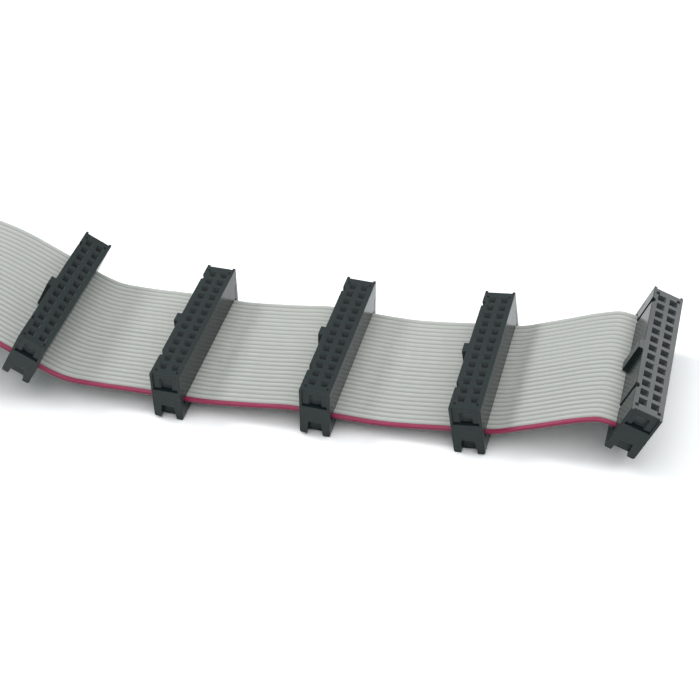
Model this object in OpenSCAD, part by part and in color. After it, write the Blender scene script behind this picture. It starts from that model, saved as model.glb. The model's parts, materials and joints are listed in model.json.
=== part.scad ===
// Flat ribbon cable with six two-row crimped sockets, lying on the feet of its sockets.
// X runs along the ribbon, Y across it, Z up. Y = 0 is the middle of the ribbon, Z = 0 the surface
// that the sockets stand on, and X = 0 the middle of the whole length.

/* [Ribbon] */
// Number of wires side by side (an even number)
ways = 26; // [10:2:26]
// Distance from one wire to the next
wire_pitch = 1.27; // [1.2:0.01:1.35]
// Thickness of the insulation round one wire
ridge_h = 0.9; // [0.8:0.05:1.0]
// Width of the flat crown of one insulated wire
ridge_w = 0.82; // [0.7:0.02:0.9]
// Thickness of the web that joins two wires
web_h = 0.36; // [0.3:0.02:0.5]
// Thickness of the copper conductor
core_d = 0.32; // [0.28:0.01:0.36]
// Gap all round a conductor, inside its insulation
core_gap = 0.01; // [0.005:0.005:0.02]

/* [Socket body] */
// Width of the socket, along the ribbon
socket_w = 6.3; // [5.8:0.1:6.6]
// Height of the socket body above the ribbon
body_h = 7.13; // [6.7:0.01:7.6]
// Gap between the ribbon and the plastic on each side of it
nip_gap = 0.02; // [0.01:0.01:0.1]
// Distance from the last contact to the end of the body
end_margin = 2.51; // [2.4:0.01:3.0]
// How far the corner rails stand out beyond the end of the body
rail_out = 0.45; // [0.3:0.05:0.6]
// Width of a corner rail
rail_w = 0.6; // [0.5:0.05:0.8]
// Width of the window in the end of the body
window_w = 2.5; // [2.0:0.1:3.0]
// Height of the window in the end of the body
window_h = 2.8; // [2.0:0.1:3.0]
// Depth of the window into the end of the body
window_depth = 1.2; // [0.8:0.1:1.2]
// Size of the small square hole in each corner of the mating face
corner_hole = 0.6; // [0.4:0.05:0.7]
// Depth of the small square hole in each corner
corner_hole_depth = 1.5; // [0.8:0.1:2.0]

/* [Contact openings] */
// Width of a square opening at the mating face
mouth_w = 1.65; // [1.5:0.05:1.7]
// Width of the square shaft below the opening
shaft_w = 1.16; // [1.12:0.02:1.2]
// Depth of the funnel from the opening to the shaft
funnel_depth = 0.6; // [0.4:0.05:0.8]

/* [Key and grooves] */
// Width of the polarising key
key_w = 2.54; // [2.0:0.02:4.0]
// How far the key stands out of the side
key_out = 0.95; // [0.7:0.05:1.1]
// Width of a side groove
groove_w = 1.0; // [0.6:0.05:1.2]
// Depth of a side groove
groove_depth = 0.6; // [0.3:0.05:0.7]
// Width of the wide head of a groove, at the mating face
groove_head_w = 1.4; // [1.2:0.05:1.6]
// Height of the wide head of a groove
groove_head_h = 1.1; // [0.8:0.1:1.6]

/* [Cover] */
// Height of the cover below the ribbon, down to its feet
cover_h = 3.48; // [3.3:0.01:4.2]
// Thickness of an end arm, along the socket
arm_t = 1.25; // [1.0:0.05:1.3]
// Height of an end arm above the middle of the ribbon
arm_up = 3.4; // [3.0:0.1:3.8]
// Gap between an end arm and the body
arm_gap = 0.05; // [0.02:0.01:0.1]
// Length of each foot, along the socket
foot_l = 4.0; // [3.0:0.1:6.0]
// How far the feet stand below the middle of the cover
foot_h = 0.3; // [0.2:0.05:0.6]
// Width of the notch between two feet, at its ceiling
notch_w = 2.6; // [2.0:0.1:3.0]
// Width of the notch between two feet, at its mouth
notch_mouth_w = 3.3; // [3.0:0.1:3.6]
// Height of the notch
notch_h = 3.3; // [2.8:0.1:3.3]
// Depth of the notch into the end of the cover
notch_depth = 1.4; // [1.3:0.1:2.0]
// Bevel on the long edges under the feet
foot_bevel = 0.3; // [0.1:0.05:0.5]

/* [Contacts] */
// Thickness of the contact's strip
contact_t = 0.3; // [0.2:0.05:0.35]
// Width of the contact's spring fork
fork_w = 1.0; // [0.9:0.02:1.04]
// Width of one beam of the fork at its root
beam_w = 0.3; // [0.2:0.02:0.34]
// Opening between the two beams at their tips, which grips a pin
grip_w = 0.5; // [0.3:0.02:0.6]
// Width of the blade that pierces the ribbon
blade_w = 0.7; // [0.6:0.02:0.74]
// Height of the lead-in that guides a wire into the blade's slot
lead_in_h = 0.35; // [0.2:0.05:0.5]
// Height of the contact's shoulder above the underside of the body
shoulder_up = 1.0; // [0.8:0.05:1.4]
// Height of the contact's shoulder
shoulder_h = 0.6; // [0.4:0.05:0.8]
// How far the blade's points reach below the middle of the ribbon
blade_down = 1.3; // [1.1:0.05:1.5]
// Distance from the mating face down to the fork's tips
fork_set_back = 1.8; // [0.8:0.1:2.0]
// Gap between a contact and the plastic round it
contact_gap = 0.06; // [0.03:0.01:0.08]

/* [Hidden] */
// Middle of the ribbon in each socket: X, climb of the ribbon in degrees, lift of the feet off the surface
SOCKETS = [
    [-126.6, 38, 0], [-65.7, -33.4, 5.5], [-34.2, -5, 0],
    [-2.7, -6, 0], [28.3, 2.5, 0], [59, -25.7, 3.6]
];
// What the ribbon passes through between two sockets: X, Z, climb in degrees
ROUTE = [
    [[-97, 22.9, 0], [-81, 19.6, -23]],
    [[-55.5, 5.5, -6]],
    [[-18, 4.1, 3]],
    [[13, 3.2, 2]],
    [[39, 6.3, 18], [52, 10.5, 13]]
];
// Largest turn of the ribbon between two points of its outline, in degrees
TURN_STEP = 20;
// A stretch that turns less than this in all, in degrees, is drawn as one straight run
STRAIGHT_TURN = 14;

// Two contact rows share the wires, so a row's own pitch is two wires
row_pitch = 2 * wire_pitch;
rows = ways / 2;
row_ys = [for (r = [0 : rows - 1]) (r - (rows - 1) / 2) * row_pitch];
way_ys = [for (i = [0 : ways - 1]) (i - (ways - 1) / 2) * wire_pitch];
// Half lengths of the body's block and of the whole socket
block_y = (rows - 1) / 2 * row_pitch + end_margin;
end_y = block_y + rail_out;
// Levels in a socket's own frame, where 0 is the middle of the ribbon
nip_z = ridge_h / 2 + nip_gap;
face_z = nip_z + body_h;
feet_z = -nip_z - cover_h;
belly_z = feet_z + foot_h;
arm_y = end_y - arm_t;
// The blade and fork of a contact
slot_w = core_d + 2 * core_gap;
fork_top = face_z - fork_set_back;
shoulder_top = nip_z + shoulder_up;
shoulder_low = shoulder_top - shoulder_h;
over = 0.01;

// Height of the middle of the ribbon above the surface when the lowest foot edge touches it
function stand_z(climb) = max(
    -feet_z * cos(climb) + (socket_w / 2 - foot_bevel) * abs(sin(climb)),
    -(feet_z + foot_bevel) * cos(climb) + socket_w / 2 * abs(sin(climb)));

// A station is [x, z, climb]: a point of the ribbon's middle line and its direction there
function socket_station(k) = [SOCKETS[k][0], SOCKETS[k][2] + stand_z(SOCKETS[k][1]), SOCKETS[k][1]];
function along(s, d) = [s[0] + d * cos(s[2]), s[1] + d * sin(s[2]), s[2]];

// The point where two tangent arcs from station a to station b meet, with its direction
function arc_joint(a, b) =
    let (
        ta = [cos(a[2]), sin(a[2])],
        tb = [cos(b[2]), sin(b[2])],
        v = [b[0] - a[0], b[1] - a[1]],
        k = 2 * (1 - ta * tb),
        q = v * (ta + tb),
        d = k < 1e-6 ? v * v / (2 * q) : (sqrt(q * q + k * (v * v)) - q) / k,
        m = ([a[0], a[1]] + [b[0], b[1]]) / 2 + d / 2 * (ta - tb)
    )
    [m[0], m[1], 2 * atan2(m[1] - a[1], m[0] - a[0]) - a[2]];

// Stations along the arc that leaves a and reaches b, a itself left out
function arc(a, b) =
    let (
        turn = b[2] - a[2],
        chord = norm([b[0] - a[0], b[1] - a[1]]),
        n = max(1, ceil(abs(turn) / TURN_STEP))
    )
    abs(turn) < 0.5 ? [b] :
    let (r = chord / (2 * sin(turn / 2)))
    [for (i = [1 : n]) let (c = a[2] + turn * i / n)
        [a[0] + r * (sin(c) - sin(a[2])), a[1] + r * (cos(a[2]) - cos(c)), c]];

// Stations from a to b, a itself left out: two arcs, or one straight run when there is little turn
function span(a, b) =
    let (m = arc_joint(a, b), turn = abs(m[2] - a[2]) + abs(b[2] - m[2]))
    turn < STRAIGHT_TURN ? [b] : concat(arc(a, m), arc(m, b));
function chain(stops, i = 0) =
    i > len(stops) - 2 ? [] : concat(span(stops[i], stops[i + 1]), chain(stops, i + 1));

// The whole middle line, from the cut end in the first socket to the cut end in the last
last = len(SOCKETS) - 1;
function after(k) =
    let (s = socket_station(k), way_in = along(s, -socket_w / 2), way_out = along(s, socket_w / 2))
    k == last ? [way_in, way_out] :
    let (next_in = along(socket_station(k + 1), -socket_w / 2))
    concat([way_in, way_out], chain(concat([way_out], ROUTE[k], [next_in])));
// A span ends on the next socket's way in, which that socket lists itself
function without_last(v) = [for (i = [0 : len(v) - 2]) v[i]];
LINE = [for (k = [0 : last]) each k == last ? after(k) : without_last(after(k))];

// The middle of the whole part along X, from the corners of the sockets at its two ends
function corner_x(k, u, w) = let (s = socket_station(k)) s[0] + u * cos(s[2]) - w * sin(s[2]);
function corner_xs(k) = [
    for (w = [feet_z, face_z]) for (u = [-1, 1]) corner_x(k, u * socket_w / 2, w),
    for (w = [nip_z, face_z]) corner_x(k, -socket_w / 2 - key_out, w)
];
all_xs = [for (k = [0 : last]) each corner_xs(k)];
mid_x = (min(all_xs) + max(all_xs)) / 2;

module at_socket(k) {
    s = socket_station(k);
    translate([s[0] - mid_x, 0, s[1]]) rotate([0, -s[2], 0]) children();
}

// A box from one corner to the other
module block(low, high) {
    translate(low) cube(high - low);
}

module extrude_y(from, to) {
    translate([0, to, 0]) rotate([90, 0, 0]) linear_extrude(to - from) children();
}

// ---- socket body ----

// A square shaft that opens into a funnel at the mating face
module contact_opening() {
    half = shaft_w / 2;
    block([-half, -half, shoulder_top - over], [half, half, face_z + over]);
    reach = mouth_w / 2 + over;
    funnel = [
        [-half, face_z - funnel_depth], [half, face_z - funnel_depth],
        [mouth_w / 2, face_z], [mouth_w / 2, face_z + over],
        [-mouth_w / 2, face_z + over], [-mouth_w / 2, face_z]
    ];
    intersection() {
        extrude_y(-reach, reach) polygon(funnel);
        rotate([0, 0, 90]) extrude_y(-reach, reach) polygon(funnel);
    }
}

// The pocket under a shaft, where the contact steps sideways to its own wire
module step_pocket() {
    side_x = contact_t / 2 + contact_gap;
    block([-side_x, -fork_w / 2 - contact_gap, nip_z - over],
          [side_x, wire_pitch / 2 + blade_w / 2 + contact_gap, shoulder_top]);
}

// The contacts of one row are the mirror images of those in the other
module each_contact_place() {
    for (y = row_ys) for (side = [-1, 1])
        translate([side * row_pitch / 2, y, 0]) mirror([0, side < 0 ? 1 : 0, 0]) children();
}

// Groove in the key's side of the body, midway between two contacts, with a wide head at the top
module side_groove(y) {
    side_x = -socket_w / 2;
    block([side_x - over, y - groove_w / 2, nip_z - over],
          [side_x + groove_depth, y + groove_w / 2, face_z + over]);
    translate([side_x, y, face_z - groove_head_h])
        cylinder(d = groove_head_w, h = groove_head_h + over, $fn = 32);
}

// The end of the body: a bar set back between two rails, a window, and room for the cover's arm
module end_recess() {
    inner_x = socket_w / 2 - rail_w;
    wide_x = socket_w / 2 + over;
    block([-inner_x, block_y, nip_z - over], [inner_x, end_y + over, face_z + over]);
    block([-wide_x, arm_y - arm_gap, nip_z - over], [wide_x, end_y + over, arm_up]);
    block([-window_w / 2, block_y - window_depth, arm_up], [window_w / 2, end_y, arm_up + window_h]);
    for (side = [-1, 1])
        translate([side * (inner_x - corner_hole / 2), block_y - end_margin / 2, face_z])
            cube([corner_hole, corner_hole, 2 * corner_hole_depth], center = true);
}

module socket_body(k) {
    color("#3a4143") at_socket(k) difference() {
        union() {
            block([-socket_w / 2, -end_y, nip_z], [socket_w / 2, end_y, face_z]);
            block([-socket_w / 2 - key_out, -key_w / 2, nip_z], [-socket_w / 2 + over, key_w / 2, face_z]);
        }
        each_contact_place() {
            contact_opening();
            step_pocket();
        }
        for (end = [0, 1]) mirror([0, end, 0]) end_recess();
        side_groove(row_ys[rows - 1] - row_pitch / 2);
        side_groove(row_ys[0] + 1.5 * row_pitch);
    }
}

// ---- cover ----

// The notch in one end of the cover, seen along Y: narrow at its ceiling, flared at its mouth
module notch_outline() {
    polygon([
        [-notch_mouth_w / 2, feet_z - over], [notch_mouth_w / 2, feet_z - over],
        [notch_w / 2, feet_z + notch_h], [-notch_w / 2, feet_z + notch_h]
    ]);
}

// The cover seen along Y: full width, bevelled along the edges under its feet
module cover_outline() {
    x = socket_w / 2;
    polygon([
        [-x, -nip_z], [-x, feet_z + foot_bevel], [-x + foot_bevel, feet_z],
        [x - foot_bevel, feet_z], [x, feet_z + foot_bevel], [x, -nip_z]
    ]);
}

module cover(k) {
    row_end = block_y - end_margin + wire_pitch / 2 + blade_w / 2 + contact_gap;
    groove_x = contact_t / 2 + contact_gap;
    color("#3a4143") at_socket(k) difference() {
        union() {
            extrude_y(-end_y, end_y) cover_outline();
            for (end = [0, 1]) mirror([0, end, 0])
                block([-socket_w / 2, arm_y, -nip_z - over], [socket_w / 2, end_y, arm_up]);
        }
        block([-socket_w, -end_y + foot_l, feet_z - over], [socket_w, end_y - foot_l, belly_z]);
        for (end = [0, 1]) mirror([0, end, 0])
            extrude_y(end_y - notch_depth, end_y + over) notch_outline();
        for (side = [-1, 1]) translate([side * row_pitch / 2, 0, 0])
            block([-groove_x, -row_end, -blade_down - contact_gap], [groove_x, row_end, -nip_z + over]);
    }
}

// ---- contacts ----

// The contact seen along the ribbon: a fork above, and below it a blade whose slot grips the conductor
module contact_outline() {
    f = fork_w / 2;
    b = wire_pitch / 2;
    slot = slot_w / 2;
    half = blade_w / 2;
    polygon([
        [-f, shoulder_low], [-f, shoulder_top + beam_w], [-grip_w / 2 - contact_t / 2, fork_top],
        [-grip_w / 2, fork_top], [-f + beam_w, shoulder_top], [f - beam_w, shoulder_top],
        [grip_w / 2, fork_top], [grip_w / 2 + contact_t / 2, fork_top], [f, shoulder_top + beam_w],
        [f, shoulder_top], [b + half, shoulder_top], [b + half, -blade_down],
        [b + slot, -blade_down + lead_in_h], [b + slot, slot], [b - slot, slot],
        [b - slot, -blade_down + lead_in_h], [b - half, -blade_down], [b - half, shoulder_low]
    ]);
}

module contacts(k) {
    color("#b8a06a") at_socket(k) each_contact_place()
        translate([-contact_t / 2, 0, 0]) rotate([90, 0, 90]) linear_extrude(contact_t) contact_outline();
}

// ---- ribbon ----

// The middle line, made longer by d at each end
line_end = len(LINE) - 1;
function longer_line(d) = [for (i = [0 : line_end]) along(LINE[i], i == 0 ? -d : i == line_end ? d : 0)];

// Points beside a line: h above its middle
function beside(line, h) = [for (s = line) [s[0] - mid_x - h * sin(s[2]), s[1] + h * cos(s[2])]];
function backwards(v) = [for (i = [len(v) - 1 : -1 : 0]) v[i]];

// A strip that follows the ribbon: everything within half a thickness of the middle line
module strip(y, width, thickness, longer = 0) {
    line = longer_line(longer);
    extrude_y(y - width / 2, y + width / 2)
        polygon(concat(beside(line, thickness / 2), backwards(beside(line, -thickness / 2))));
}

// Wires side by side, hollow for their conductors and pierced by the blades; a web joins them
module insulated(ys) {
    hollow = core_d + 2 * core_gap;
    difference() {
        union() {
            for (y = ys) strip(y, ridge_w, ridge_h);
            children();
        }
        for (y = ys) strip(y, hollow, hollow, over);
        for (k = [0 : last]) at_socket(k) each_contact_place()
            translate([0, wire_pitch / 2, 0]) cube([contact_t, blade_w, 2 * nip_z], center = true);
    }
}

module ribbon_insulation() {
    grey_ys = [for (i = [1 : ways - 1]) way_ys[i]];
    first_y = way_ys[0] + wire_pitch / 2;
    last_y = way_ys[ways - 1];
    color("#c9cbc6") insulated(grey_ys)
        strip((first_y + last_y) / 2, last_y - first_y, web_h);
}

module marker_wire_insulation() {
    color("#a82358") insulated([way_ys[0]])
        strip(way_ys[0] + wire_pitch / 4, wire_pitch / 2, web_h);
}

module conductors() {
    color("#b87333") for (y = way_ys) strip(y, core_d, core_d);
}

socket_body(0);  // socket_body_1
socket_body(1);  // socket_body_2
socket_body(2);  // socket_body_3
socket_body(3);  // socket_body_4
socket_body(4);  // socket_body_5
socket_body(5);  // socket_body_6
cover(0);  // cover_1
cover(1);  // cover_2
cover(2);  // cover_3
cover(3);  // cover_4
cover(4);  // cover_5
cover(5);  // cover_6
contacts(0);  // contacts_1
contacts(1);  // contacts_2
contacts(2);  // contacts_3
contacts(3);  // contacts_4
contacts(4);  // contacts_5
contacts(5);  // contacts_6
ribbon_insulation();
marker_wire_insulation();
conductors();
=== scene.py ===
"""Looks for a flat ribbon cable with six two-row crimped sockets.

Everything is in metres and in the frame of the solid model: X runs along the ribbon, Y across it,
Z up, and the sockets stand on Z = 0. The sockets are numbered along X.
"""

import json
import math

import bmesh
import bpy
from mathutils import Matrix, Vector


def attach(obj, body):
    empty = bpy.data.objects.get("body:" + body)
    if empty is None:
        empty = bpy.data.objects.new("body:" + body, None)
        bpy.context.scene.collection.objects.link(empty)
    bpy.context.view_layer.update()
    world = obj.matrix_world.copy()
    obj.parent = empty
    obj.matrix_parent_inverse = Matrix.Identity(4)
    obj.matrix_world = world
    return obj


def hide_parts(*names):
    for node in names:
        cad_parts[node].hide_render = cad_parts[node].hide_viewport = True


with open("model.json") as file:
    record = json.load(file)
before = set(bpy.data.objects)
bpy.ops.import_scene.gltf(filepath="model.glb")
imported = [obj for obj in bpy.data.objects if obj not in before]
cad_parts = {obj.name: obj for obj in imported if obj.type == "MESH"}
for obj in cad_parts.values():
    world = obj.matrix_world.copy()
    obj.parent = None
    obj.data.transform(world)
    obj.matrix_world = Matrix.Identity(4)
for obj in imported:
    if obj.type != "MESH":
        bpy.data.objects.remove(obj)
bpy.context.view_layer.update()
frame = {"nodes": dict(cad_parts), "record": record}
bpy.context.scene.view_settings.view_transform = "Standard"

MM = 0.001
SOCKETS = range(1, 7)

# ---- sizes of the ribbon and the sockets, as in the solid model ----

WIRES = 26
WIRE_PITCH = 1.27 * MM
RIDGE_RADIUS = 0.45 * MM
WEB_THICKNESS = 0.36 * MM
CORE_RADIUS = 0.16 * MM
SOCKET_WIDTH = 6.3 * MM
SOCKET_LENGTH = 36.4 * MM
FACE_ABOVE_RIBBON = 7.6 * MM
CONTACT_PITCH = 2.54 * MM
CONTACT_ROWS = 13
MOUTH_WIDTH = 1.65 * MM
FUNNEL_DEPTH = 0.6 * MM
# How far the corner rails stand out beyond the end of the block
RAIL_OUT = 0.45 * MM
CORNER_HOLE_WIDTH = 0.6 * MM
CORNER_HOLE_SIDEWAYS = 2.25 * MM
CORNER_HOLE_FROM_END = 1.705 * MM
WINDOW_WIDTH = 2.5 * MM
# Between which the middles of a window's walls lie, with a little room
WINDOW_FROM_END = (0.55 * MM, 1.75 * MM)
WINDOW_BELOW_FACE = (1.35 * MM, 4.25 * MM)

# Where the ribbon passes between two sockets: X and Z in millimetres, climb in degrees
WAYPOINTS = {
    1: [(-62.31, 22.9, 0), (-46.31, 19.6, -23)],
    2: [(-20.81, 5.5, -6)],
    3: [(16.69, 4.1, 3)],
    4: [(47.69, 3.2, 2)],
    5: [(73.69, 6.3, 18), (86.69, 10.5, 13)],
}

# ---- how the shapes are told apart, softened and swept ----

# How near a plane counts as on it
SLACK = 0.02 * MM
# How nearly a face must look along the socket's height to count as level: 1 is exactly
LEVEL = 0.9
# Corners nearer than this are one corner, and faces that meet flatter than this are one face
SAME_CORNER = 0.001 * MM
SAME_FACE = math.radians(1)
EDGE_ROUNDING = 0.09 * MM
# Only edges sharper and longer than this are rounded
SHARP_EDGE = math.radians(35)
LONG_EDGE = 0.225 * MM
# Longest piece and largest turn between two rings of the swept ribbon
RING_STEP = 1.6 * MM
RING_TURN = math.radians(4)
# Below these, two directions count as one, and a turn in radians as none
SAME_WAY = 1e-9
NO_TURN = 1e-4
# Points along the top of a grey wire, and along its bottom; the red wire has twice as many
OUTLINE_POINTS = 12
OUTLINE_MERGE = 0.0005 * MM
CORE_SIDES = 8
# How far the copper stands out of the ribbon's cut ends
CORE_OUT = 0.02 * MM
# Edges that turn less than this are shaded smooth
JACKET_SMOOTH = math.radians(40)
CORE_SMOOTH = math.radians(60)

# ---- how the paper looks ----

# The floor turns from shadowed paper into plain white between these distances from the origin
PAPER_REACH = (0.35, 0.7)
PAPER_WHITENESS = 0.92
# Added to the whiteness where the paper is seen, and not where it lights the part
SEEN_WHITENESS = 0.275


# ---- camera, floor and lamps ----


def make_camera(place, degrees, lens):
    data = bpy.data.cameras.new("camera")
    data.sensor_width = 36
    data.lens = lens
    data.clip_start = 0.01
    camera = bpy.data.objects.new("camera", data)
    camera.location = place
    camera.rotation_euler = [math.radians(angle) for angle in degrees]
    bpy.context.scene.collection.objects.link(camera)
    bpy.context.scene.camera = camera


class Wiring:
    """Adds nodes to one tree, each with its inputs joined or set in the same call."""

    def __init__(self, tree):
        self.tree = tree

    def add(self, kind, inputs=None, **settings):
        node = self.tree.nodes.new(kind)
        for name, value in settings.items():
            setattr(node, name, value)
        for socket, value in (inputs or {}).items():
            if isinstance(value, bpy.types.NodeSocket):
                self.tree.links.new(value, node.inputs[socket])
            else:
                node.inputs[socket].default_value = value
        return node

    def maths(self, operation, *values):
        return self.add("ShaderNodeMath", dict(enumerate(values)), operation=operation).outputs[0]

    def join(self, output, node, socket):
        self.tree.links.new(output, node.inputs[socket])


def seen_directly(wiring):
    """1 for what the camera sees itself, in a shiny surface or through glass; 0 for light alone."""
    path = wiring.add("ShaderNodeLightPath").outputs
    seen = wiring.maths("MAXIMUM", path["Is Camera Ray"], path["Is Glossy Ray"])
    return wiring.maths("MAXIMUM", seen, path["Is Transmission Ray"])


def make_world(colour, strength):
    """Lights the part faintly from all sides, and shows as plain white."""
    world = bpy.data.worlds.new("studio")
    world.use_nodes = True
    world.node_tree.nodes.clear()
    wiring = Wiring(world.node_tree)
    white = wiring.add("ShaderNodeBackground", {"Color": (1, 1, 1, 1), "Strength": 1.0})
    light = wiring.add("ShaderNodeBackground", {"Color": colour, "Strength": strength})
    mix = wiring.add("ShaderNodeMixShader", {0: seen_directly(wiring)})
    wiring.join(light.outputs[0], mix, 1)
    wiring.join(white.outputs[0], mix, 2)
    wiring.add("ShaderNodeOutputWorld", {"Surface": mix.outputs[0]})
    bpy.context.scene.world = world


def make_floor():
    """White paper that keeps the shadows; far from the part it shows as plain white."""
    bpy.ops.mesh.primitive_plane_add(size=4)
    floor = bpy.context.object
    floor.name = "floor"
    material = bpy.data.materials.new("white_table")
    material.use_nodes = True
    material.node_tree.nodes.clear()
    wiring = Wiring(material.node_tree)
    seen = seen_directly(wiring)
    whiteness = wiring.maths("MULTIPLY_ADD", seen, SEEN_WHITENESS, PAPER_WHITENESS)
    paper = wiring.add("ShaderNodeBsdfDiffuse", {"Color": whiteness})
    white = wiring.add("ShaderNodeEmission", {"Color": (1, 1, 1, 1), "Strength": 1.0})
    place = wiring.add("ShaderNodeTexCoord").outputs["Object"]
    distance = wiring.add("ShaderNodeVectorMath", {0: place}, operation="LENGTH").outputs["Value"]
    far = wiring.add(
        "ShaderNodeMapRange",
        {"Value": distance, "From Min": PAPER_REACH[0], "From Max": PAPER_REACH[1]},
        interpolation_type="SMOOTHSTEP",
    ).outputs[0]
    mix = wiring.add("ShaderNodeMixShader", {0: wiring.maths("MULTIPLY", seen, far)})
    wiring.join(paper.outputs[0], mix, 1)
    wiring.join(white.outputs[0], mix, 2)
    wiring.add("ShaderNodeOutputMaterial", {"Surface": mix.outputs[0]})
    floor.data.materials.append(material)


def make_softbox(name, place, size, power):
    """A round soft lamp, turned to the middle of the part."""
    data = bpy.data.lights.new(name, "AREA")
    data.shape = "DISK"
    data.size = size
    data.energy = power
    lamp = bpy.data.objects.new(name, data)
    lamp.location = place
    lamp.rotation_euler = (-Vector(place)).to_track_quat("-Z", "Y").to_euler()
    bpy.context.scene.collection.objects.link(lamp)


make_camera(place=(0.11749, -0.22601, 0.21042), degrees=(49.632, 5.748, 15.252), lens=78.93)
make_world(colour=(0.8, 0.93, 1, 1), strength=0.19)
make_floor()
make_softbox("top_box", place=(0.29, -0.23, 1.24), size=1.94, power=16.4)
make_softbox("left_box", place=(-1.17, 0.22, 1.35), size=0.6, power=10.8)
make_softbox("back_box", place=(0.86, 0.9, 0.52), size=0.54, power=4.15)


# ---- finishes ----

CLOUDS_PER_METRE = 160
# How much of the clouding shows in the roughness
CLOUDED_ROUGHNESS = 0.6
# Along X, across the ribbon and up
STREAKS_PER_METRE = (60, 2400, 600)
# The painted shade over a web, in the groove between two wires, fades out between these shares of
# the way from the web's middle to a wire's middle
PAINTED_WEB_SHADE_FADE = (0.2, 0.55)
SOCKET_COLOUR = (0.0137, 0.0226, 0.0226, 1)
JACKET_ROUGHNESS = 0.42
JACKET_BUMP = 0.004 * MM


def new_group(name, inputs, outputs):
    """An empty shader group with its sockets made; gives its wiring, input and output node."""
    tree = bpy.data.node_groups.new(name, "ShaderNodeTree")
    for socket, (kind, value) in inputs.items():
        made = tree.interface.new_socket(socket, in_out="INPUT", socket_type=kind)
        made.default_value = value
    for socket, kind in outputs.items():
        tree.interface.new_socket(socket, in_out="OUTPUT", socket_type=kind)
    wiring = Wiring(tree)
    return wiring, wiring.add("NodeGroupInput"), wiring.add("NodeGroupOutput")


def make_moulded_skin():
    """Faint clouding and fine grain, as an injection mould leaves on plastic."""
    wiring, given, result = new_group(
        "moulded_skin",
        {
            "Colour": ("NodeSocketColor", (0.5, 0.5, 0.5, 1)),
            "Clouding": ("NodeSocketFloat", 0.1),
            "Roughness": ("NodeSocketFloat", 0.4),
            "Grain Size": ("NodeSocketFloat", 0.2 * MM),
        },
        {"Colour": "NodeSocketColor", "Roughness": "NodeSocketFloat", "Height": "NodeSocketFloat"},
    )
    place = wiring.add("ShaderNodeTexCoord").outputs["Object"]
    clouds = wiring.add(
        "ShaderNodeTexNoise", {"Vector": place, "Scale": CLOUDS_PER_METRE, "Detail": 3}
    ).outputs["Fac"]
    per_metre = wiring.maths("DIVIDE", 1.0, given.outputs["Grain Size"])
    grain = wiring.add(
        "ShaderNodeTexNoise", {"Vector": place, "Scale": per_metre, "Detail": 2}
    ).outputs["Fac"]
    centred = wiring.maths("SUBTRACT", clouds, 0.5)
    swing = wiring.maths("MULTIPLY", centred, given.outputs["Clouding"])
    brightness = wiring.maths("ADD", 1.0, swing)
    colour = wiring.add(
        "ShaderNodeVectorMath", {0: given.outputs["Colour"], "Scale": brightness}, operation="SCALE"
    ).outputs[0]
    rougher = wiring.maths("MULTIPLY", swing, CLOUDED_ROUGHNESS)
    roughness = wiring.maths("ADD", given.outputs["Roughness"], rougher)
    wiring.join(colour, result, "Colour")
    wiring.join(roughness, result, "Roughness")
    wiring.join(grain, result, "Height")
    return wiring.tree


def make_drawn_skin():
    """Faint die streaks along X on an extruded jacket, and painted shade in the grooves over the
    webs.
    """
    wiring, given, result = new_group(
        "drawn_skin",
        {
            "Colour": ("NodeSocketColor", (0.5, 0.5, 0.5, 1)),
            "Streaking": ("NodeSocketFloat", 0.1),
            "Wire Pitch": ("NodeSocketFloat", WIRE_PITCH),
            "Painted Web Shade": ("NodeSocketFloat", 0.3),
            "Roughness": ("NodeSocketFloat", 0.4),
        },
        {"Colour": "NodeSocketColor", "Roughness": "NodeSocketFloat", "Height": "NodeSocketFloat"},
    )
    place = wiring.add("ShaderNodeTexCoord").outputs["Object"]
    along = wiring.add(
        "ShaderNodeMapping", {"Vector": place, "Scale": STREAKS_PER_METRE}
    ).outputs[0]
    streaks = wiring.add(
        "ShaderNodeTexNoise", {"Vector": along, "Scale": 1, "Detail": 3}
    ).outputs["Fac"]
    centred = wiring.maths("SUBTRACT", streaks, 0.5)
    swing = wiring.maths("MULTIPLY", centred, given.outputs["Streaking"])

    # Painted shade: the colour is darkened over the thin web between two wires, in the groove
    # between the round ridges
    across = wiring.add("ShaderNodeSeparateXYZ", {"Vector": place}).outputs["Y"]
    half_pitch = wiring.maths("DIVIDE", given.outputs["Wire Pitch"], 2)
    from_web = wiring.maths("DIVIDE", wiring.maths("PINGPONG", across, half_pitch), half_pitch)
    web = wiring.add(
        "ShaderNodeMapRange",
        {
            "Value": from_web,
            "From Min": PAINTED_WEB_SHADE_FADE[0],
            "From Max": PAINTED_WEB_SHADE_FADE[1],
            "To Min": 1,
            "To Max": 0,
        },
        interpolation_type="SMOOTHSTEP",
    ).outputs[0]
    shade = wiring.maths("SUBTRACT", 1.0, wiring.maths("MULTIPLY", web, given.outputs["Painted Web Shade"]))
    brightness = wiring.maths("MULTIPLY", shade, wiring.maths("ADD", 1.0, swing))
    colour = wiring.add(
        "ShaderNodeVectorMath", {0: given.outputs["Colour"], "Scale": brightness}, operation="SCALE"
    ).outputs[0]
    wiring.join(colour, result, "Colour")
    wiring.join(wiring.maths("ADD", given.outputs["Roughness"], swing), result, "Roughness")
    wiring.join(streaks, result, "Height")
    return wiring.tree


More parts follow.
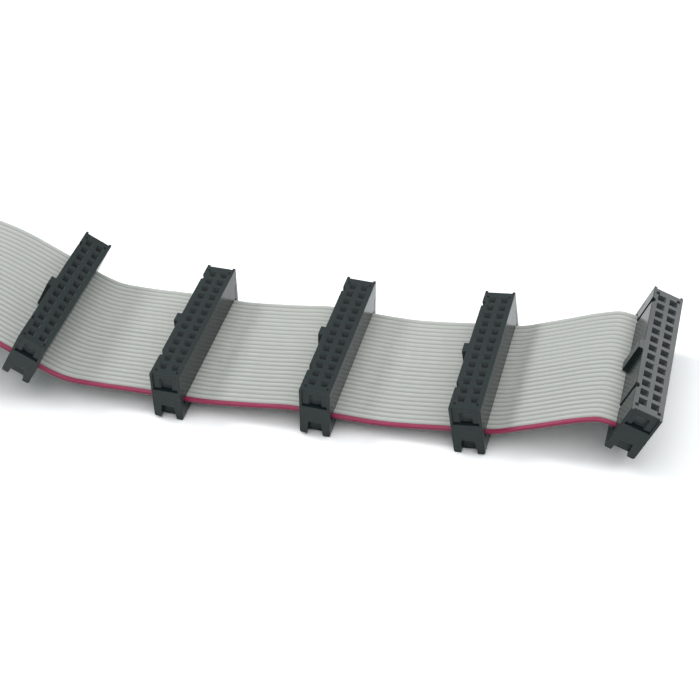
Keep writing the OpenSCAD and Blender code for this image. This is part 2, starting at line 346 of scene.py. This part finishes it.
def make_finish(name, skin=None, values=None, bump=0.0, **shader):
    """A Principled material; a skin group, where given, drives its colour, roughness and bump."""
    material = bpy.data.materials.new(name)
    material.use_nodes = True
    material.node_tree.nodes.clear()
    wiring = Wiring(material.node_tree)
    surface = wiring.add("ShaderNodeBsdfPrincipled", shader)
    if skin:
        group = wiring.add("ShaderNodeGroup", node_tree=skin)
        for socket, value in values.items():
            group.inputs[socket].default_value = value
        raised = wiring.add("ShaderNodeBump", {"Height": group.outputs["Height"], "Distance": bump})
        wiring.join(group.outputs["Colour"], surface, "Base Color")
        wiring.join(group.outputs["Roughness"], surface, "Roughness")
        wiring.join(raised.outputs[0], surface, "Normal")
    wiring.add("ShaderNodeOutputMaterial", {"Surface": surface.outputs[0]})
    return material


def make_socket_plastic(name, colour, roughness, refraction):
    """Moulded plastic; all surfaces of a socket share their clouding and grain."""
    values = {"Colour": colour, "Clouding": 0.2, "Roughness": roughness, "Grain Size": 0.12 * MM}
    return make_finish(name, moulded_skin, values, bump=0.003 * MM, IOR=refraction)


moulded_skin = make_moulded_skin()
drawn_skin = make_drawn_skin()

body_plastic = make_socket_plastic(
    "dark_body_plastic", SOCKET_COLOUR, roughness=0.22, refraction=1.32
)
cover_plastic = make_socket_plastic(
    "dark_cover_plastic", SOCKET_COLOUR, roughness=0.25, refraction=1.32
)
# Lighter colours for the recess walls: painted light, the lighter one for walls below the funnel
# depth
funnel_painted_light = make_socket_plastic(
    "funnel_painted_light", (0.066, 0.074, 0.076, 1), roughness=0.6, refraction=1.22
)
shaft_painted_light = make_socket_plastic(
    "shaft_painted_light", (0.11, 0.123, 0.125, 1), roughness=0.6, refraction=1.34
)
# Both jackets get painted shade in the grooves over their webs; the red one keeps the group's
# default amount
grey_jacket = make_finish(
    "grey_jacket",
    drawn_skin,
    {
        "Colour": (0.511, 0.525, 0.494, 1),
        "Streaking": 0.08,
        "Painted Web Shade": 0.32,
        "Roughness": JACKET_ROUGHNESS,
    },
    bump=JACKET_BUMP,
)
red_jacket = make_finish(
    "red_jacket",
    drawn_skin,
    {"Colour": (0.29, 0.010, 0.068, 1), "Streaking": 0.15, "Roughness": JACKET_ROUGHNESS},
    bump=JACKET_BUMP,
)
contact_gold = make_finish(
    "contact_gold", **{"Base Color": (0.62, 0.45, 0.2, 1), "Metallic": 1.0, "Roughness": 0.35}
)
bare_copper = make_finish(
    "bare_copper", **{"Base Color": (0.72, 0.33, 0.16, 1), "Metallic": 1.0, "Roughness": 0.3}
)


# ---- the sockets' plastic, with softened edges ----


class SocketPlace:
    """A socket's mating face, and how far points lie from it."""

    def __init__(self, number):
        mounts = frame["record"]["mounts"]
        face = next(mount for mount in mounts if mount["name"] == f"mating_face_{number}")
        self.middle = Vector(face["pos_m"])
        self.up = Vector(face["axis"])
        self.ahead = Vector((self.up.z, 0, -self.up.x))

    def measure(self, point):
        """How far a point lies from the middle plane, from the socket's end, and below the face."""
        offset = point - self.middle
        return abs(offset.dot(self.ahead)), SOCKET_LENGTH / 2 - abs(offset.y), -offset.dot(self.up)

    def in_opening(self, point):
        sideways = self.measure(point)[0]
        row = round(point.y / CONTACT_PITCH)
        from_row = abs(point.y - row * CONTACT_PITCH)
        from_column = abs(sideways - CONTACT_PITCH / 2)
        from_middle = max(from_row, from_column)
        return abs(row) <= CONTACT_ROWS // 2 and from_middle < MOUTH_WIDTH / 2 + SLACK

    def in_corner_hole(self, point):
        sideways, from_end, _ = self.measure(point)
        off_sideways = abs(sideways - CORNER_HOLE_SIDEWAYS)
        off_endways = abs(from_end - CORNER_HOLE_FROM_END)
        return max(off_sideways, off_endways) < CORNER_HOLE_WIDTH / 2 + SLACK

    def in_window(self, point):
        sideways, from_end, below = self.measure(point)
        return (
            sideways < WINDOW_WIDTH / 2 + SLACK
            and WINDOW_FROM_END[0] < from_end < WINDOW_FROM_END[1]
            and WINDOW_BELOW_FACE[0] < below < WINDOW_BELOW_FACE[1]
        )

    def on_outside(self, point):
        sideways, from_end, below = self.measure(point)
        on_side = sideways > SOCKET_WIDTH / 2 - SLACK
        on_end = from_end < RAIL_OUT + SLACK
        on_face = below < SLACK and not self.in_opening(point)
        return on_side or on_end or on_face


def finish_piece(piece, slot, *nodes):
    """Turns a piece's modifiers into plain mesh, ties it to the body and hides the solids it stands
    for.
    """
    evaluated = piece.evaluated_get(bpy.context.evaluated_depsgraph_get())
    mesh = bpy.data.meshes.new_from_object(evaluated)
    piece.modifiers.clear()
    piece.data = mesh
    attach(piece, "root")
    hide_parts(*nodes)


def drop_slivers(mesh):
    """Merges corners that lie in the same place and drops the faces this leaves without area."""
    shape = bmesh.new()
    shape.from_mesh(mesh)
    bmesh.ops.remove_doubles(shape, verts=shape.verts, dist=SAME_CORNER)
    bmesh.ops.dissolve_degenerate(shape, edges=shape.edges, dist=SAME_CORNER)
    shape.to_mesh(mesh)
    shape.free()


def softened_copy(node, name, material, slot, place):
    """A copy that stands for a solid, with its facets joined and its outer edges rounded."""
    shape = bmesh.new()
    shape.from_mesh(frame["nodes"][node].data)
    bmesh.ops.remove_doubles(shape, verts=shape.verts, dist=SAME_CORNER)
    bmesh.ops.dissolve_limit(
        shape,
        angle_limit=SAME_FACE,
        verts=shape.verts,
        edges=shape.edges,
        use_dissolve_boundaries=False,
    )
    roundness = shape.edges.layers.float.new("bevel_weight_edge")
    for edge in shape.edges:
        middle = (edge.verts[0].co + edge.verts[1].co) / 2
        sharp = edge.calc_face_angle(0) > SHARP_EDGE
        long = edge.calc_length() > LONG_EDGE
        if sharp and long and place.on_outside(middle):
            edge[roundness] = 1
    mesh = bpy.data.meshes.new(name)
    shape.to_mesh(mesh)
    shape.free()
    mesh.materials.clear()
    mesh.materials.append(material)
    piece = bpy.data.objects.new(name, mesh)
    bpy.context.scene.collection.objects.link(piece)
    edges = piece.modifiers.new("soft_edges", "BEVEL")
    edges.width = EDGE_ROUNDING
    edges.segments = 2
    edges.limit_method = "WEIGHT"
    edges.use_clamp_overlap = False
    finish_piece(piece, slot, node)
    drop_slivers(piece.data)
    piece.data.shade_flat()
    return piece


def paint_light_into_recesses(body, place):
    """Paints light into a socket's recesses: the walls of its openings, corner holes and end
    windows get lighter colours than the body, lighter still below the funnel depth.
    """
    body.data.materials.append(funnel_painted_light)
    funnel_slot = len(body.data.materials) - 1
    body.data.materials.append(shaft_painted_light)
    shaft_slot = len(body.data.materials) - 1
    for face in body.data.polygons:
        below = place.measure(face.center)[2]
        level = abs(face.normal.dot(place.up)) > LEVEL
        in_hole = place.in_opening(face.center) or place.in_corner_hole(face.center)
        if (in_hole and below > SLACK and not level) or place.in_window(face.center):
            face.material_index = funnel_slot if below < FUNNEL_DEPTH else shaft_slot


for number in SOCKETS:
    place = SocketPlace(number)
    body = softened_copy(
        f"socket_body_{number}",
        f"socket_body_shell_{number}",
        body_plastic,
        "socket_plastic",
        place,
    )
    # Painted light on the walls of the openings, corner holes and end windows
    paint_light_into_recesses(body, place)
    softened_copy(
        f"cover_{number}",
        f"cover_shell_{number}",
        cover_plastic,
        "cover_plastic",
        place,
    )
    contacts = frame["nodes"][f"contacts_{number}"]
    contacts.data.materials.clear()
    contacts.data.materials.append(contact_gold)


# ---- the ribbon's route ----


class Station:
    """A point of the ribbon's middle line, with its climb in radians."""

    def __init__(self, x, z, climb):
        self.x = x
        self.z = z
        self.climb = climb

    def ahead(self, distance):
        x = self.x + distance * math.cos(self.climb)
        z = self.z + distance * math.sin(self.climb)
        return Station(x, z, self.climb)


def socket_station(number):
    """Where the ribbon lies in a socket, worked out from the socket's mating face."""
    place = SocketPlace(number)
    middle = place.middle - FACE_ABOVE_RIBBON * place.up
    return Station(middle.x, middle.z, math.atan2(-place.up.x, place.up.z))


def arc_joint(start, end):
    """The station where two tangent arcs from start to end meet."""
    start_way = Vector((math.cos(start.climb), math.sin(start.climb)))
    end_way = Vector((math.cos(end.climb), math.sin(end.climb)))
    across = Vector((end.x - start.x, end.z - start.z))
    bend = 2 * (1 - start_way.dot(end_way))
    run = across.dot(start_way + end_way)
    if bend < SAME_WAY:
        reach = across.dot(across) / (2 * run)
    else:
        reach = (math.sqrt(run * run + bend * across.dot(across)) - run) / bend
    middle = Vector((start.x + end.x, start.z + end.z)) / 2 + reach / 2 * (start_way - end_way)
    chord = math.atan2(middle.y - start.z, middle.x - start.x)
    return Station(middle.x, middle.y, 2 * chord - start.climb)


def arc(start, end):
    """Stations along the arc that leaves start and reaches end, start itself left out."""
    turn = end.climb - start.climb
    chord = math.hypot(end.x - start.x, end.z - start.z)
    count = max(1, math.ceil(chord / RING_STEP), math.ceil(abs(turn) / RING_TURN))
    steps = range(1, count + 1)
    if abs(turn) < NO_TURN:
        return [
            Station(
                start.x + (end.x - start.x) * step / count,
                start.z + (end.z - start.z) * step / count,
                start.climb,
            )
            for step in steps
        ]
    radius = chord / (2 * math.sin(turn / 2))
    climbs = [start.climb + turn * step / count for step in steps]
    return [
        Station(
            start.x + radius * (math.sin(climb) - math.sin(start.climb)),
            start.z + radius * (math.cos(start.climb) - math.cos(climb)),
            climb,
        )
        for climb in climbs
    ]


def ribbon_route(longer=0.0):
    """The middle line from cut end to cut end, and as much longer at both ends as is asked."""
    stations = [socket_station(1).ahead(-SOCKET_WIDTH / 2 - longer)]
    for number in SOCKETS:
        here = socket_station(number)
        last = number == SOCKETS[-1]
        stations.append(here.ahead(SOCKET_WIDTH / 2 + (longer if last else 0)))
        if last:
            break
        stops = [Station(x * MM, z * MM, math.radians(climb)) for x, z, climb in WAYPOINTS[number]]
        for stop in stops + [socket_station(number + 1).ahead(-SOCKET_WIDTH / 2)]:
            joint = arc_joint(stations[-1], stop)
            stations += arc(stations[-1], joint) + arc(joint, stop)
    return stations


def polyline(name, stations):
    """A mesh of edges through the stations, for a sweep to follow."""
    mesh = bpy.data.meshes.new(name)
    points = [(station.x, 0, station.z) for station in stations]
    links = [(point, point + 1) for point in range(len(points) - 1)]
    mesh.from_pydata(points, links, [])
    piece = bpy.data.objects.new(name, mesh)
    bpy.context.scene.collection.objects.link(piece)
    return piece


# ---- sweeps along the route ----


def new_sweep(name, sizes):
    """A geometry tree that follows the piece's own edges; gives its wiring, input and output."""
    tree = bpy.data.node_groups.new(name, "GeometryNodeTree")
    tree.interface.new_socket("Route", in_out="INPUT", socket_type="NodeSocketGeometry")
    for socket, kind in sizes.items():
        tree.interface.new_socket(socket, in_out="INPUT", socket_type=kind)
    tree.interface.new_socket("Geometry", in_out="OUTPUT", socket_type="NodeSocketGeometry")
    wiring = Wiring(tree)
    return wiring, wiring.add("NodeGroupInput"), wiring.add("NodeGroupOutput")


def level_curve(wiring, given):
    """The route as a curve whose sections stay level across the ribbon."""
    curve = wiring.add("GeometryNodeMeshToCurve", {0: given.outputs["Route"]}).outputs[0]
    return wiring.add("GeometryNodeSetCurveNormal", {"Curve": curve}, mode="Z_UP").outputs[0]


def end_tree(wiring, given, geometry, result):
    real = wiring.add("GeometryNodeRealizeInstances", {0: geometry}).outputs[0]
    painted = wiring.add(
        "GeometryNodeSetMaterial", {"Geometry": real, "Material": given.outputs["Material"]}
    )
    wiring.join(painted.outputs[0], result, "Geometry")


def make_jacket_tree():
    """Sweeps the outline of a row of round wires joined by a thin web."""
    sizes = {
        "First Wire": "NodeSocketFloat",
        "Wires": "NodeSocketInt",
        "Pitch": "NodeSocketFloat",
        "Radius": "NodeSocketFloat",
        "Web Thickness": "NodeSocketFloat",
        "Side From": "NodeSocketFloat",
        "Side To": "NodeSocketFloat",
        "Web From": "NodeSocketFloat",
        "Web To": "NodeSocketFloat",
        "Outline Points": "NodeSocketInt",
        "Material": "NodeSocketMaterial",
    }
    wiring, given, result = new_sweep("jacket", sizes)
    size = given.outputs
    maths = wiring.maths

    # The outline runs out along the bottom and back along the top
    all_points = maths("MULTIPLY", size["Outline Points"], 2)
    points = wiring.add("GeometryNodeCurvePrimitiveCircle", {"Resolution": all_points})
    index = wiring.add("GeometryNodeInputIndex").outputs[0]
    returning = maths("GREATER_THAN", index, maths("SUBTRACT", size["Outline Points"], 0.5))
    steps = maths("SUBTRACT", size["Outline Points"], 1)
    step = maths("SUBTRACT", index, maths("MULTIPLY", returning, size["Outline Points"]))
    way_out = maths("DIVIDE", step, steps)
    way = maths("ABSOLUTE", maths("SUBTRACT", way_out, returning))
    width = maths("SUBTRACT", size["Side To"], size["Side From"])
    across = maths("MULTIPLY_ADD", way, width, size["Side From"])

    # Half the thickness there: the nearest wire's circle, or the web where that is thicker
    from_first = maths("SUBTRACT", across, size["First Wire"])
    wire = maths("ROUND", maths("DIVIDE", from_first, size["Pitch"]))
    highest_wire = maths("SUBTRACT", size["Wires"], 1)
    wire = maths("MINIMUM", maths("MAXIMUM", wire, 0.0), highest_wire)
    centre = maths("MULTIPLY_ADD", wire, size["Pitch"], size["First Wire"])
    offset = maths("SUBTRACT", across, centre)
    radius_squared = maths("MULTIPLY", size["Radius"], size["Radius"])
    offset_squared = maths("MULTIPLY", offset, offset)
    height_squared = maths("SUBTRACT", radius_squared, offset_squared)
    round_half = maths("SQRT", maths("MAXIMUM", height_squared, 0.0))
    past_start = maths("GREATER_THAN", across, size["Web From"])
    before_end = maths("LESS_THAN", across, size["Web To"])
    on_web = maths("MULTIPLY", past_start, before_end)
    web_half = maths("MULTIPLY", maths("DIVIDE", size["Web Thickness"], 2), on_web)
    half = maths("MAXIMUM", round_half, web_half)
    side = maths("SUBTRACT", 1, maths("MULTIPLY", returning, 2))
    left = maths("MULTIPLY", across, -1)
    place = wiring.add("ShaderNodeCombineXYZ", {"X": left, "Y": maths("MULTIPLY", half, side)})
    outline = wiring.add(
        "GeometryNodeSetPosition", {"Geometry": points.outputs[0], "Position": place.outputs[0]}
    )
    route = level_curve(wiring, given)
    swept = wiring.add(
        "GeometryNodeCurveToMesh",
        {"Curve": route, "Profile Curve": outline.outputs[0], "Fill Caps": True},
    )
    merged = wiring.add(
        "GeometryNodeMergeByDistance", {"Geometry": swept.outputs[0], "Distance": OUTLINE_MERGE}
    )
    end_tree(wiring, given, merged.outputs[0], result)
    return wiring.tree


def make_core_tree():
    """Sweeps one round wire and repeats it across the ribbon."""
    sizes = {
        "First Wire": "NodeSocketFloat",
        "Wires": "NodeSocketInt",
        "Pitch": "NodeSocketFloat",
        "Radius": "NodeSocketFloat",
        "Sides": "NodeSocketInt",
        "Material": "NodeSocketMaterial",
    }
    wiring, given, result = new_sweep("cores", sizes)
    size = given.outputs
    section = wiring.add(
        "GeometryNodeCurvePrimitiveCircle", {"Resolution": size["Sides"], "Radius": size["Radius"]}
    )
    route = level_curve(wiring, given)
    core = wiring.add(
        "GeometryNodeCurveToMesh",
        {"Curve": route, "Profile Curve": section.outputs[0], "Fill Caps": True},
    )
    start = wiring.add("ShaderNodeCombineXYZ", {"Y": size["First Wire"]}).outputs[0]
    step = wiring.add("ShaderNodeCombineXYZ", {"Y": size["Pitch"]}).outputs[0]
    row = wiring.add(
        "GeometryNodeMeshLine", {"Count": size["Wires"], "Start Location": start, "Offset": step}
    )
    cores = wiring.add(
        "GeometryNodeInstanceOnPoints", {"Points": row.outputs[0], "Instance": core.outputs[0]}
    )
    end_tree(wiring, given, cores.outputs[0], result)
    return wiring.tree


def swept_piece(name, tree, sizes, stations, slot, node, smooth_below):
    """Sweeps a tree along the route and leaves plain mesh that stands for a solid."""
    piece = polyline(name, stations)
    sweep = piece.modifiers.new("sweep", "NODES")
    sweep.node_group = tree
    inputs = [item for item in tree.interface.items_tree if item.in_out == "INPUT"]
    identifiers = {item.name: item.identifier for item in inputs}
    for size, value in sizes.items():
        sweep[identifiers[size]] = value
    finish_piece(piece, slot, node)
    piece.data.shade_smooth()
    piece.data.set_sharp_from_angle(angle=smooth_below)


first_wire = -(WIRES - 1) / 2 * WIRE_PITCH
last_wire = -first_wire
# The red wire's jacket meets the grey one in the middle of a web
seam = first_wire + WIRE_PITCH / 2
jacket_tree = make_jacket_tree()
core_tree = make_core_tree()
jacket_sizes = {"Pitch": WIRE_PITCH, "Radius": RIDGE_RADIUS, "Web Thickness": WEB_THICKNESS}

swept_piece(
    "grey_ribbon",
    jacket_tree,
    jacket_sizes
    | {
        "First Wire": first_wire + WIRE_PITCH,
        "Wires": WIRES - 1,
        "Side From": seam,
        "Side To": last_wire + RIDGE_RADIUS,
        "Web From": seam - WIRE_PITCH,
        "Web To": last_wire,
        "Outline Points": OUTLINE_POINTS * (WIRES - 1),
        "Material": grey_jacket,
    },
    ribbon_route(),
    "ribbon_pvc",
    "ribbon_insulation",
    smooth_below=JACKET_SMOOTH,
)
swept_piece(
    "red_edge_wire",
    jacket_tree,
    jacket_sizes
    | {
        "First Wire": first_wire,
        "Wires": 1,
        "Side From": first_wire - RIDGE_RADIUS,
        "Side To": seam,
        "Web From": first_wire,
        "Web To": seam + WIRE_PITCH,
        "Outline Points": 2 * OUTLINE_POINTS,
        "Material": red_jacket,
    },
    ribbon_route(),
    "marker_pvc",
    "marker_wire_insulation",
    smooth_below=JACKET_SMOOTH,
)
swept_piece(
    "copper_wires",
    core_tree,
    {
        "First Wire": first_wire,
        "Wires": WIRES,
        "Pitch": WIRE_PITCH,
        "Radius": CORE_RADIUS,
        "Sides": CORE_SIDES,
        "Material": bare_copper,
    },
    ribbon_route(longer=CORE_OUT),
    "copper",
    "conductors",
    smooth_below=CORE_SMOOTH,
)
